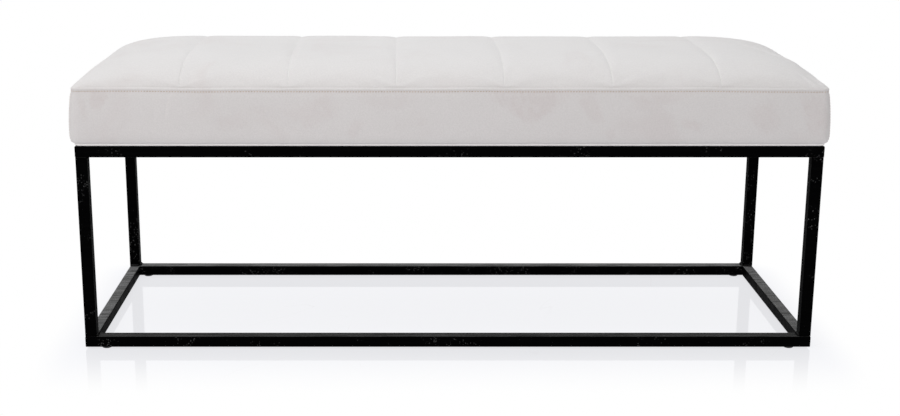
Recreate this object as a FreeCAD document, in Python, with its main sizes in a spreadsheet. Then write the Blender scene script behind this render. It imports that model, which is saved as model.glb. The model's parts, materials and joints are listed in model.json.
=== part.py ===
"""Upholstered bench: a long box cushion on an open frame of square steel tube.

The origin is at floor level under the middle of the bench. +X runs along the bench, -Y is its
front and +Z is up. All sizes are in millimetres and come from the sheet named Size.
"""
import FreeCAD, Part

import math
import os

import Sketcher
from FreeCAD import Placement, Rotation, Vector

SIZES = {
    # Frame of square tube: two mitred rings joined by four legs
    "frame_length": 1208,
    "frame_depth": 394,
    "frame_height": 344,
    "tube_side": 19,
    "tube_wall": 1.5,
    "tube_corner": 2,
    "weld_leg": 3,
    # Nylon glides pushed into the bottom ring
    "glide_height": 2.5,
    "glide_across": 17,
    "glide_chamfer": 0.8,
    "glide_stem_across": 6,
    "glide_stem_reach": 7,
    "glide_from_end": 34,
    "glide_clearance": 0.1,
    # Tabs welded inside the top ring, which the seat is bolted to
    "tab_reach": 32,
    "tab_width": 40,
    "tab_thickness": 3,
    "tab_corner": 6,
    "tab_from_end": 90,
    "bolt_inset": 36,
    # Screws, washers and nuts of the seat
    "bolt_across": 6,
    "bolt_length": 20,
    "bolt_head_flats": 10,
    "bolt_head_height": 4,
    "bolt_clearance": 0.6,
    "washer_across": 12,
    "washer_thickness": 1.6,
    "nut_flange_across": 19,
    "nut_flange_thickness": 1.2,
    "nut_barrel_across": 8,
    "nut_barrel_length": 11,
    "nut_clearance": 0.2,
    # Seat board and the cloth under it
    "board_thickness": 15,
    "dust_cover_thickness": 0.5,
    "dust_cover_gap": 4,
    "punched_across": 9,
    # Cover of the cushion: four bands and a channelled top panel
    "cover_thickness": 1.5,
    "cover_clearance": 0.3,
    "seam_allowance": 4,
    "seam_overhang": 3,
    "band_height": 96,
    "band_overhang": 6,
    "band_full_height": 45,
    "roll_radius": 9,
    "hem_width": 50,
    "crown_rise": 37.5,
    "crown_end_reach": 225,
    "crown_fullness": 3.5,
    "crown_softness": 0.42,
    "crown_start": 0.03,
    "channel_count": 7,
    "channel_rise": 3,
    "channel_fullness": 7,
    "channel_turn": 20,
}

# Where the lofted crown has its sections, as shares of the way from its edge to where it is full
CROWN_STOPS = (0, 0.005, 0.018, 0.05, 0.12, 0.26, 0.52, 1)
# Where the arcs of a section meet in an end channel, as shares of the way up the end
END_STOPS = (0.03, 0.2)
# Where the middle point of an end arc lies, as a share of its length from the outer end
END_MIDDLE = 0.3
# Least distance between two sections of a loft
SECTION_GAP = 0.5
# Lengths and slopes closer than this count as equal
CLOSE = 0.01
# An arc that bends less than this share of its length is drawn as a line
STRAIGHT = 1e-6

doc = FreeCAD.newDocument("UpholsteredBench")
sheet = doc.addObject("Spreadsheet::Sheet", "Size")
for row, (alias, value) in enumerate(SIZES.items(), start=1):
    sheet.set(f"A{row}", alias)
    sheet.set(f"B{row}", str(value))
    sheet.setAlias(f"B{row}", alias)
doc.recompute()

sub_parts = []


def size(alias):
    """One driving size, in millimetres."""
    return float(sheet.get(alias))


def number(formula):
    """The present value of a formula of the sheet."""
    value = sheet.evalExpression(formula)
    return float(getattr(value, "Value", value))


# Heights and places that several pieces share, as formulas of the sheet
FRAME_TOP = "(Size.glide_height + Size.frame_height)"
TAB_TOP = f"({FRAME_TOP} - Size.dust_cover_thickness)"
TAB_UNDERSIDE = f"({TAB_TOP} - Size.tab_thickness)"
BOARD_UNDERSIDE = f"({FRAME_TOP} + Size.cover_thickness)"
BOARD_TOP = f"({BOARD_UNDERSIDE} + Size.board_thickness)"
SEAM_HEIGHT = f"({FRAME_TOP} + Size.band_height)"
BOLT_ACROSS_X = "(Size.frame_length / 2 - Size.tab_from_end)"
BOLT_ACROSS_Y = "(Size.frame_depth / 2 - Size.bolt_inset)"
BAND_INSIDE = "(Size.band_overhang - Size.cover_thickness - Size.cover_clearance)"
CORNERS = {
    "front_left": (-1, -1),
    "front_right": (1, -1),
    "back_left": (-1, 1),
    "back_right": (1, 1),
}


# Bodies, sketches and features

def new_body(name):
    """An empty body that becomes one sub-part."""
    body = doc.addObject("PartDesign::Body", name)
    body.Label = name
    sub_parts.append(body)
    return body


def new_sketch(body, name, plane="XY_Plane"):
    """A sketch on one of the body's own origin planes."""
    sketch = body.newObject("Sketcher::SketchObject", name)
    datum = next(item for item in body.Origin.OriginFeatures if item.Role == plane)
    sketch.AttachmentSupport = [(datum, "")]
    sketch.MapMode = "FlatFace"
    return sketch


def tie_point(sketch, geometry, point, across, up):
    """Ties a point to the origin by two formulas; one that starts with a minus lies on the far side."""
    for kind, formula, axis in (("DistanceX", across, -2), ("DistanceY", up, -1)):
        if formula == "0":
            sketch.addConstraint(Sketcher.Constraint("PointOnObject", geometry, point, axis))
            continue
        negative = formula.startswith("-")
        formula = formula.lstrip("-")
        ends = (geometry, point, -1, 1) if negative else (-1, 1, geometry, point)
        index = sketch.addConstraint(Sketcher.Constraint(kind, *ends, number(formula)))
        sketch.setExpression(f"Constraints[{index}]", formula)


def signed(formula):
    """The present value of a formula whose leading minus stands for all of it."""
    return -number(formula[1:]) if formula.startswith("-") else number(formula)


def draw_outline(sketch, corners):
    """A closed outline of straight lines through corners, each given by two formulas."""
    spots = [Vector(signed(across), signed(up), 0) for across, up in corners]
    lines = []
    for here, there in zip(spots, spots[1:] + spots[:1]):
        lines.append(sketch.addGeometry(Part.LineSegment(here, there), False))
    for line, following in zip(lines, lines[1:] + lines[:1]):
        sketch.addConstraint(Sketcher.Constraint("Coincident", line, 2, following, 1))
    for line, (across, up) in zip(lines, corners):
        tie_point(sketch, line, 1, across, up)


def draw_rectangle(sketch, across, up):
    """A rectangle about the origin, from the formulas of its half sizes."""
    draw_outline(sketch, [(f"-{across}", f"-{up}"), (across, f"-{up}"), (across, up), (f"-{across}", up)])


def draw_circle(sketch, across, up, diameter):
    """A circle whose centre and diameter are formulas."""
    centre = Vector(signed(across), signed(up), 0)
    circle = sketch.addGeometry(Part.Circle(centre, Vector(0, 0, 1), number(diameter) / 2), False)
    tie_point(sketch, circle, 3, across, up)
    index = sketch.addConstraint(Sketcher.Constraint("Diameter", circle, number(diameter)))
    sketch.setExpression(f"Constraints[{index}]", diameter)


def draw_bolt_circles(sketch, diameter):
    """A circle at each of the four seat bolts."""
    for side_x, side_y in CORNERS.values():
        across = BOLT_ACROSS_X if side_x > 0 else f"-{BOLT_ACROSS_X}"
        up = BOLT_ACROSS_Y if side_y > 0 else f"-{BOLT_ACROSS_Y}"
        draw_circle(sketch, across, up, diameter)


def add_pad(body, sketch, length, both_ways=False):
    """Raises a sketch by a formula, upwards or half each way."""
    pad = body.newObject("PartDesign::Pad", f"{body.Name}_pad")
    pad.Profile = sketch
    pad.setExpression("Length", length)
    pad.SideType = "Symmetric" if both_ways else "One side"
    sketch.Visibility = False
    doc.recompute()
    return pad


def add_pocket(body, sketch, name, depth=None, both_ways=False, upwards=False):
    """Cuts a sketch away by a formula, or right through, and checks that it took material."""
    before = body.Shape.Volume
    pocket = body.newObject("PartDesign::Pocket", f"{body.Name}_{name}")
    pocket.Profile = sketch
    if depth is None:
        pocket.Type = "ThroughAll"
    else:
        pocket.setExpression("Length", depth)
    pocket.SideType = "Symmetric" if both_ways else "One side"
    pocket.Reversed = upwards
    sketch.Visibility = False
    doc.recompute()
    if not body.Shape.Volume < before:
        raise RuntimeError(f"{pocket.Name} cuts nothing")
    return pocket


def add_fillet(body, name, radius, wanted):
    """Rounds the edges of the body that a test picks, by a formula."""
    base = body.Tip
    picked = [f"Edge{index}" for index, edge in enumerate(base.Shape.Edges, start=1) if wanted(edge)]
    fillet = body.newObject("PartDesign::Fillet", f"{body.Name}_{name}")
    fillet.Base = (base, picked)
    fillet.setExpression("Radius", radius)
    doc.recompute()
    return fillet


def runs_along(edge, axis):
    """Whether an edge is straight and parallel to an axis."""
    if not isinstance(edge.Curve, Part.Line):
        return False
    return edge.Curve.Direction.cross(axis).Length < CLOSE


def place(part, x="0", y="0", z="0", turn=0):
    """Puts a sub-part where three formulas say, turned about the upright axis."""
    part.Placement = Placement(Vector(0, 0, 0), Rotation(Vector(0, 0, 1), turn))
    for letter, formula in zip("xyz", (x, y, z)):
        if formula != "0":
            part.setExpression(f"Placement.Base.{letter}", formula)


def add_shape(name, shape, turn=0):
    """A sub-part whose shape is worked out in this file from the sheet."""
    part = doc.addObject("Part::Feature", name)
    part.Label = name
    part.Shape = shape
    part.Placement = Placement(Vector(0, 0, 0), Rotation(Vector(0, 0, 1), turn))
    sub_parts.append(part)
    return part


# Frame

def make_rail(name, length, x, y, z, turn, glide_holes=False):
    """A square tube with both ends mitred at 45 degrees; its long face looks to -Y before it turns."""
    body = new_body(name)
    plan = new_sketch(body, f"{name}_plan")
    outer, inner = f"{length} / 2", f"({length} / 2 - Size.tube_side)"
    half = "Size.tube_side / 2"
    draw_outline(plan, [(f"-{outer}", f"-{half}"), (outer, f"-{half}"), (inner, half), (f"-{inner}", half)])
    add_pad(body, plan, "Size.tube_side", both_ways=True)
    along = Vector(1, 0, 0)
    add_fillet(body, "corners", "Size.tube_corner", lambda edge: runs_along(edge, along))

    hollow = new_sketch(body, f"{name}_hollow")
    half = "(Size.tube_side / 2 - Size.tube_wall)"
    long_side = f"({length} / 2)"
    short_side = f"({length} / 2 - Size.tube_side + 2 * Size.tube_wall)"
    draw_outline(hollow, [(f"-{long_side}", f"-{half}"), (long_side, f"-{half}"),
                          (short_side, half), (f"-{short_side}", half)])
    add_pocket(body, hollow, "bore", "Size.tube_side - 2 * Size.tube_wall", both_ways=True)
    if glide_holes:
        holes = new_sketch(body, f"{name}_glide_holes")
        hole_x = f"({length} / 2 - Size.glide_from_end)"
        for across in (f"-{hole_x}", hole_x):
            draw_circle(holes, across, "0", "Size.glide_stem_across + 2 * Size.glide_clearance")
        add_pocket(body, holes, "glide_holes")
    place(body, x, y, z, turn)


def make_ring(level, z, glide_holes=False):
    """Four mitred rails that make one ring of the frame."""
    across_x = "(Size.frame_length - Size.tube_side) / 2"
    across_y = "(Size.frame_depth - Size.tube_side) / 2"
    length, depth = "Size.frame_length", "Size.frame_depth"
    make_rail(f"{level}_front_rail", length, "0", f"-{across_y}", z, 0, glide_holes)
    make_rail(f"{level}_back_rail", length, "0", across_y, z, 180, glide_holes)
    make_rail(f"{level}_left_rail", depth, f"-{across_x}", "0", z, -90)
    make_rail(f"{level}_right_rail", depth, across_x, "0", z, 90)


def make_leg(name, side_x, side_y):
    """An upright square tube between the two rings, at one corner of the frame."""
    body = new_body(name)
    section = new_sketch(body, f"{name}_section")
    draw_rectangle(section, "Size.tube_side / 2", "Size.tube_side / 2")
    add_pad(body, section, "Size.frame_height - 2 * Size.tube_side")
    upright = Vector(0, 0, 1)
    add_fillet(body, "corners", "Size.tube_corner", lambda edge: runs_along(edge, upright))
    hollow = new_sketch(body, f"{name}_hollow")
    half = "(Size.tube_side / 2 - Size.tube_wall)"
    draw_rectangle(hollow, half, half)
    add_pocket(body, hollow, "bore", upwards=True)
    place(body, f"{side_x} * (Size.frame_length - Size.tube_side) / 2",
          f"{side_y} * (Size.frame_depth - Size.tube_side) / 2", "Size.glide_height + Size.tube_side")


def at_corners(solid, x, y):
    """Copies a solid that stands on the upright axis to four places, mirrored about the middle."""
    return Part.makeCompound([solid.translated(Vector(side_x * x, side_y * y, 0))
                              for side_x, side_y in CORNERS.values()])


def make_glides():
    """Four nylon glides: a round foot under the ring, and a tapered stem pushed into the tube."""
    foot, stem = size("glide_across") / 2, size("glide_stem_across") / 2
    chamfer, height = size("glide_chamfer"), size("glide_height")
    stem_top = height + size("tube_wall") + size("glide_stem_reach")
    outline = [(0, 0), (foot - chamfer, 0), (foot, chamfer), (foot, height),
               (stem, height), (stem - chamfer, stem_top), (0, stem_top), (0, 0)]
    profile = Part.Face(Part.makePolygon([Vector(across, 0, up) for across, up in outline]))
    glide = profile.revolve(Vector(0, 0, 0), Vector(0, 0, 1), 360)
    x = size("frame_length") / 2 - size("glide_from_end")
    add_shape("glides", at_corners(glide, x, (size("frame_depth") - size("tube_side")) / 2))


def make_tab(name, side_x, side_y):
    """A steel tab welded to the inside of a long rail, with a hole for one seat bolt."""
    body = new_body(name)
    plan = new_sketch(body, f"{name}_plan")
    half, reach = "Size.tab_width / 2", "Size.tab_reach"
    draw_outline(plan, [(f"-{half}", "0"), (half, "0"), (half, reach), (f"-{half}", reach)])
    add_pad(body, plan, "Size.tab_thickness")
    upright, free_end = Vector(0, 0, 1), size("tab_reach")
    add_fillet(body, "corners", "Size.tab_corner",
               lambda edge: runs_along(edge, upright) and abs(edge.CenterOfMass.y - free_end) < CLOSE)
    hole = new_sketch(body, f"{name}_hole")
    draw_circle(hole, "0", "(Size.bolt_inset - Size.tube_side)", "Size.bolt_across + Size.bolt_clearance")
    add_pocket(body, hole, "bolt_hole", upwards=True)
    place(body, f"{side_x} * {BOLT_ACROSS_X}", f"{side_y} * (Size.frame_depth / 2 - Size.tube_side)",
          TAB_UNDERSIDE, 0 if side_y < 0 else 180)


def make_bead(start, run, first_leg, second_leg):
    """A fillet weld: a three-sided bar in the corner of two faces."""
    outline = Part.makePolygon([start, start + first_leg, start + second_leg, start])
    return Part.Face(outline).extrude(run)


def make_weld_beads():
    """Fillet welds at the inner corners of legs and rings, and under each tab."""
    leg = size("weld_leg")
    side, corner = size("tube_side"), size("tube_corner")
    inner_x = size("frame_length") / 2 - side
    inner_y = size("frame_depth") / 2 - side
    run = side - 2 * corner
    low, high = size("glide_height") + side, number(FRAME_TOP) - side
    beads = []
    for side_x, side_y in CORNERS.values():
        for z, up in ((low, 1), (high, -1)):
            upright = Vector(0, 0, up * leg)
            start = Vector(side_x * inner_x, side_y * (inner_y + corner), z)
            beads.append(make_bead(start, Vector(0, side_y * run, 0), Vector(-side_x * leg, 0, 0), upright))
            start = Vector(side_x * (inner_x + corner), side_y * inner_y, z)
            beads.append(make_bead(start, Vector(side_x * run, 0, 0), Vector(0, -side_y * leg, 0), upright))
    bead_run = size("tab_width") - 2 * leg
    for side_x, side_y in CORNERS.values():
        left = side_x * number(BOLT_ACROSS_X) - bead_run / 2
        start = Vector(left, side_y * inner_y, number(TAB_UNDERSIDE))
        inward, down = Vector(0, -side_y * leg, 0), Vector(0, 0, -leg)
        beads.append(make_bead(start, Vector(bead_run, 0, 0), inward, down))
    add_shape("weld_beads", Part.makeCompound(beads))


# Seat board and its fasteners

def make_seat_board():
    """A plywood board with its lower edges rounded, bored for the nuts that the bolts pull on."""
    body = new_body("seat_board")
    plan = new_sketch(body, "seat_board_plan")
    draw_rectangle(plan, f"(Size.frame_length / 2 + {BAND_INSIDE})",
                   f"(Size.frame_depth / 2 + {BAND_INSIDE})")
    add_pad(body, plan, "Size.board_thickness")
    add_fillet(body, "lower_edges", "Size.roll_radius - Size.cover_thickness - Size.cover_clearance",
               lambda edge: abs(edge.BoundBox.ZMax) < CLOSE)
    bores = new_sketch(body, "seat_board_bores")
    recesses = new_sketch(body, "seat_board_recesses")
    recesses.setExpression("AttachmentOffset.Base.z", "Size.board_thickness")
    draw_bolt_circles(bores, "Size.nut_barrel_across + Size.nut_clearance")
    draw_bolt_circles(recesses, "Size.nut_flange_across + Size.nut_clearance")
    add_pocket(body, bores, "bolt_bores", upwards=True)
    add_pocket(body, recesses, "flange_recesses", "Size.nut_flange_thickness")
    place(body, z=BOARD_UNDERSIDE)


def make_dust_cover():
    """A black cloth that closes the underside of the seat, inside the top ring."""
    body = new_body("dust_cover")
    plan = new_sketch(body, "dust_cover_plan")
    draw_rectangle(plan, "(Size.frame_length / 2 - Size.tube_side - Size.dust_cover_gap)",
                   "(Size.frame_depth / 2 - Size.tube_side - Size.dust_cover_gap)")
    add_pad(body, plan, "Size.dust_cover_thickness")
    holes = new_sketch(body, "dust_cover_holes")
    draw_bolt_circles(holes, "Size.punched_across")
    add_pocket(body, holes, "bolt_holes", upwards=True)
    place(body, z=TAB_TOP)


def upright_cylinder(diameter, low, high):
    """A round bar on the upright axis between two heights."""
    return Part.makeCylinder(diameter / 2, high - low, Vector(0, 0, low))


def make_fasteners():
    """Four hexagon-head bolts, their washers and the flanged nuts in the board."""
    x, y = number(BOLT_ACROSS_X), number(BOLT_ACROSS_Y)
    washer_top = number(TAB_UNDERSIDE)
    washer_low = washer_top - size("washer_thickness")
    hole = size("bolt_across") + size("bolt_clearance")
    washer = upright_cylinder(size("washer_across"), washer_low, washer_top)
    washer = washer.cut(upright_cylinder(hole, washer_low, washer_top))
    add_shape("seat_washers", at_corners(washer, x, y))

    head_low = washer_low - size("bolt_head_height")
    shank = upright_cylinder(size("bolt_across"), washer_low, washer_low + size("bolt_length"))
    reach = size("bolt_head_flats") / math.sqrt(3)
    turns = [math.radians(60 * side) for side in range(7)]
    hexagon = [Vector(reach * math.cos(turn), reach * math.sin(turn), head_low) for turn in turns]
    head = Part.Face(Part.makePolygon(hexagon)).extrude(Vector(0, 0, size("bolt_head_height")))
    add_shape("seat_bolts", at_corners(shank.fuse(head), x, y))

    top = number(BOARD_TOP)
    flange = upright_cylinder(size("nut_flange_across"), top - size("nut_flange_thickness"), top)
    barrel = upright_cylinder(size("nut_barrel_across"), top - size("nut_barrel_length"), top)
    thread = size("bolt_across") + size("nut_clearance")
    bore = upright_cylinder(thread, top - size("nut_barrel_length"), top)
    add_shape("seat_tee_nuts", at_corners(flange.fuse(barrel).cut(bore).removeSplitter(), x, y))


# Cushion

def band_edge(half_width, inward):
    """Points down one side of the band, moved inward: seam, its arc, full width, roll, underside."""
    face = -half_width
    seam, full = face - size("seam_overhang") + inward, face - size("band_overhang") + inward
    base = number(FRAME_TOP)
    rise = size("band_height") - size("band_full_height")
    sweep = size("band_overhang") - size("seam_overhang")
    arc_radius = (rise ** 2 + sweep ** 2) / (2 * sweep)
    middle = full + arc_radius - math.sqrt(arc_radius ** 2 - (rise / 2) ** 2)
    roll = size("roll_radius")
    turn_y, turn_z = face - size("band_overhang") + roll, base + roll
    reach = (roll - inward) * math.cos(math.radians(45))
    return {
        "seam": Vector(0, seam, number(SEAM_HEIGHT)),
        "seam_arc": Vector(0, middle, base + size("band_full_height") + rise / 2),
        "full": Vector(0, full, base + size("band_full_height")),
        "roll_start": Vector(0, full, turn_z),
        "roll_arc": Vector(0, turn_y - reach, turn_z - reach),
        "roll_end": Vector(0, turn_y, base + inward),
    }


def make_band(name, run, width, turn, bolt_places=()):
    """One side band of the cover, drawn in at the seam, rolled under the board and mitred at its ends."""
    outer = band_edge(width / 2, 0)
    inner = band_edge(width / 2, size("cover_thickness"))
    hem_edge = -width / 2 + size("hem_width")
    hem_low = Vector(0, hem_edge, outer["roll_end"].z)
    hem_high = Vector(0, hem_edge, inner["roll_end"].z)
    section = Part.Wire([
        Part.Arc(outer["seam"], outer["seam_arc"], outer["full"]).toShape(),
        Part.makeLine(outer["full"], outer["roll_start"]),
        Part.Arc(outer["roll_start"], outer["roll_arc"], outer["roll_end"]).toShape(),
        Part.makeLine(outer["roll_end"], hem_low),
        Part.makeLine(hem_low, hem_high),
        Part.makeLine(hem_high, inner["roll_end"]),
        Part.Arc(inner["roll_end"], inner["roll_arc"], inner["roll_start"]).toShape(),
        Part.makeLine(inner["roll_start"], inner["full"]),
        Part.Arc(inner["full"], inner["seam_arc"], inner["seam"]).toShape(),
        Part.makeLine(inner["seam"], outer["seam"]),
    ])
    spare = 2 * size("band_overhang")
    strip = Part.Face(section).extrude(Vector(run + 2 * spare, 0, 0))
    strip.translate(Vector(-run / 2 - spare, 0, 0))
    deep = size("hem_width") + spare
    front, back = -width / 2 - spare, -width / 2 + deep
    plan = Part.makePolygon([Vector(-run / 2 - spare, front, 0), Vector(run / 2 + spare, front, 0),
                             Vector(run / 2 - deep, back, 0), Vector(-run / 2 + deep, back, 0),
                             Vector(-run / 2 - spare, front, 0)])
    mitres = Part.Face(plan).extrude(Vector(0, 0, number(SEAM_HEIGHT) + spare))
    band = strip.common(mitres)
    for x in bolt_places:
        punch = upright_cylinder(size("punched_across"), number(FRAME_TOP) - spare, number(BOARD_TOP))
        band = band.cut(punch.translated(Vector(x, -number(BOLT_ACROSS_Y), 0)))
    add_shape(name, band.Solids[0] if len(band.Solids) == 1 else band, turn)


def make_bands():
    """The four side bands, which meet at the corner seams."""
    length, depth = size("frame_length"), size("frame_depth")
    bolts = [side * number(BOLT_ACROSS_X) for side in (-1, 1)]
    make_band("cover_front_band", length, depth, 0, bolts)
    make_band("cover_back_band", length, depth, 180, bolts)
    make_band("cover_left_band", depth, length, -90)
    make_band("cover_right_band", depth, length, 90)


def foam_slab(half_width, half_run):
    """A slab with the foam's drawn-in side profile, as long as twice the half run."""
    side = band_edge(half_width, size("cover_thickness") + size("cover_clearance"))
    foot = Vector(0, side["full"].y, number(BOARD_TOP))

    def mirrored(point):
        return Vector(point.x, -point.y, point.z)

    outline = Part.Wire([
        Part.makeLine(foot, side["full"]),
        Part.Arc(side["full"], side["seam_arc"], side["seam"]).toShape(),
        Part.makeLine(side["seam"], mirrored(side["seam"])),
        Part.Arc(mirrored(side["seam"]), mirrored(side["seam_arc"]), mirrored(side["full"])).toShape(),
        Part.makeLine(mirrored(side["full"]), mirrored(foot)),
        Part.makeLine(mirrored(foot), foot),
    ])
    slab = Part.Face(outline).extrude(Vector(2 * half_run, 0, 0))
    slab.translate(Vector(-half_run, 0, 0))
    return slab


def make_foam_core():
    """The foam block on the board, whose four sides draw in towards the seam."""
    length, depth = size("frame_length"), size("frame_depth")
    lengthwise = foam_slab(depth / 2, length)
    crosswise = foam_slab(length / 2, length)
    crosswise.rotate(Vector(0, 0, 0), Vector(0, 0, 1), 90)
    add_shape("foam_core", lengthwise.common(crosswise))


def crown_share(gap, reach):
    """How much of the crown stands at a distance from the seam, from its start to 1."""
    way = min(max(gap / reach, 0), 1)
    full = (1 - (1 - way) ** size("crown_fullness")) ** size("crown_softness")
    return size("crown_start") + (1 - size("crown_start")) * full


def crown_height(x, y, drop, channel_rise):
    """Height of the crowned surface at a point; channel_rise lifts the middle of a channel."""
    gap_x = size("frame_length") / 2 + size("seam_overhang") - abs(x)
    half_depth = size("frame_depth") / 2 + size("seam_overhang")
    share = crown_share(gap_x, size("crown_end_reach")) * crown_share(half_depth - abs(y), half_depth)
    edge = number(SEAM_HEIGHT) + size("cover_thickness")
    return edge + (size("crown_rise") - size("cover_thickness") + channel_rise) * share - drop


def section_stops(half_length, inset, creased):
    """Where the arcs of a section start and end, from left to right."""
    channels = round(size("channel_count"))
    width = 2 * half_length / channels
    turn = size("channel_turn") if creased else 0
    reach = size("crown_end_reach")
    left = [inset] + [stop * reach for stop in END_STOPS if inset < stop * reach < width - turn]
    stops = {gap - half_length for gap in left} | {half_length - gap for gap in left}
    for count in range(1, channels):
        seam = width * count - half_length
        stops |= {seam - turn, seam, seam + turn}
    return sorted(stops)


def channel_lift(x, half_length):
    """How far a channel's filling lifts the cover, from 0 at its seams to 1 at its middle."""
    width = 2 * half_length / round(size("channel_count"))
    way = ((x + half_length) / width) % 1
    from_seam = 2 * min(way, 1 - way)
    return 1 - (1 - from_seam) ** size("channel_fullness")


def bow(start, middle, end):
    """An arc through three points, or a line where they are in line."""
    bend = (middle - start).cross(end - middle).Length
    if bend < STRAIGHT * (end - start).Length ** 2:
        return Part.makeLine(start, end)
    return Part.Arc(start, middle, end).toShape()


def crown_section(y, inset, drop, base, channel_rise):
    """One upright section of a crowned solid: a flat base and an arc over each stretch of the top."""
    half_length = size("frame_length") / 2 + size("seam_overhang")
    stops = section_stops(half_length, inset, channel_rise > 0)

    def spot(x):
        lift = channel_rise * channel_lift(x, half_length)
        return Vector(x, y, crown_height(x, y, drop, lift))

    edges = []
    for start, end in zip(stops, stops[1:]):
        middle = (start + end) / 2
        if start == stops[0]:
            middle = start + END_MIDDLE * (end - start)
        elif end == stops[-1]:
            middle = end - END_MIDDLE * (end - start)
        edges.append(bow(spot(start), spot(middle), spot(end)))
    low_right, low_left = Vector(stops[-1], y, base), Vector(stops[0], y, base)
    edges += [Part.makeLine(spot(stops[-1]), low_right), Part.makeLine(low_right, low_left),
              Part.makeLine(low_left, spot(stops[0]))]
    return Part.Wire(edges)


def crown_solid(inset, drop, base, channel_rise):
    """A crowned solid lofted through its sections from front to back."""
    half_depth = size("frame_depth") / 2 + size("seam_overhang")
    gaps = [inset] + [stop * half_depth for stop in CROWN_STOPS if stop * half_depth > inset + SECTION_GAP]
    front = [gap - half_depth for gap in gaps]
    depths = front + [-y for y in reversed(front[:-1])]
    return Part.makeLoft([crown_section(y, inset, drop, base, channel_rise) for y in depths], True, True)


def make_crowned_pieces():
    """The channelled top panel, and the pad of wadding that fills it."""
    seam = number(SEAM_HEIGHT)
    thickness, clearance = size("cover_thickness"), size("cover_clearance")
    allowance = size("seam_allowance")
    outside = crown_solid(0, 0, seam, size("channel_rise"))
    inside = crown_solid(allowance, thickness, seam - thickness, 0)
    add_shape("cover_top_panel", outside.cut(inside))
    add_shape("wadding_pad", crown_solid(allowance + clearance, thickness + clearance, seam, 0))


make_ring("bottom", "Size.glide_height + Size.tube_side / 2", glide_holes=True)
make_ring("top", "Size.glide_height + Size.frame_height - Size.tube_side / 2")
for corner_name, (side_x, side_y) in CORNERS.items():
    make_leg(f"{corner_name}_leg", side_x, side_y)
    make_tab(f"{corner_name}_tab", side_x, side_y)
make_glides()
make_weld_beads()
make_seat_board()
make_dust_cover()
make_fasteners()
make_bands()
make_foam_core()
make_crowned_pieces()
doc.recompute()

for item in doc.Objects:
    if "Invalid" in item.State or "Error" in item.State:
        raise RuntimeError(f"{item.Label} failed: {item.State}")
for part in sub_parts:
    if part.Shape.isNull() or not part.Shape.isValid():
        raise RuntimeError(f"{part.Label} has no valid shape")

os.makedirs("parts", exist_ok=True)
for part in sub_parts:
    part.Shape.exportStep(f"parts/{part.Label}.step")
print(f"{len(sub_parts)} sub-parts written")
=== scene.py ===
"""Looks of the upholstered bench: velvet cushion, coated tube frame, underside and studio."""

import json
import logging
import math
from collections.abc import Callable
from dataclasses import dataclass
from enum import Enum

import bmesh
import bpy
import numpy as np
from bmesh.types import BMesh
from bpy.types import Material, Mesh, Node, NodeSocket, NodeTree, Object
from mathutils import Matrix, Vector, noise
from mathutils.bvhtree import BVHTree


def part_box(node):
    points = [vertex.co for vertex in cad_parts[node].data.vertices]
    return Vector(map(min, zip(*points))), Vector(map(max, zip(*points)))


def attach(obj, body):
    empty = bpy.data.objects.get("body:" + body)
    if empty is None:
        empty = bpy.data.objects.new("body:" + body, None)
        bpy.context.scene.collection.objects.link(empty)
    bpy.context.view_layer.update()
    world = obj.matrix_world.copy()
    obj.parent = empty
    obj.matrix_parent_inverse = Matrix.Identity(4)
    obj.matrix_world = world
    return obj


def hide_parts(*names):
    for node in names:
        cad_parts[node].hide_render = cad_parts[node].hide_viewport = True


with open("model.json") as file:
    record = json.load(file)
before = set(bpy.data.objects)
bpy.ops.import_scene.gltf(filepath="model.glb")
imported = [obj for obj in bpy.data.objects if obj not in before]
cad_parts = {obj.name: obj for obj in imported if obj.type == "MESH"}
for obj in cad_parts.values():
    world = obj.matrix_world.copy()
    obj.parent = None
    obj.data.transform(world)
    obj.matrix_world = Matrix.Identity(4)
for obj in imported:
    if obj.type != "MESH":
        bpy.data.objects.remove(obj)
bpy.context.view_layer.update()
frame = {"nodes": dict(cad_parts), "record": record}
log = logging.getLogger("bench")
MM = 0.001
SEED = 11
SMALLEST = 1e-9
Array = np.ndarray
Pair = tuple[float, float]
Triple = tuple[float, float, float]
Colour = tuple[float, float, float, float]


# Shader building

def grey(level: float) -> Colour:
    """A grey of some level, up to white at 1."""
    return (level, level, level, 1.0)


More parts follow.
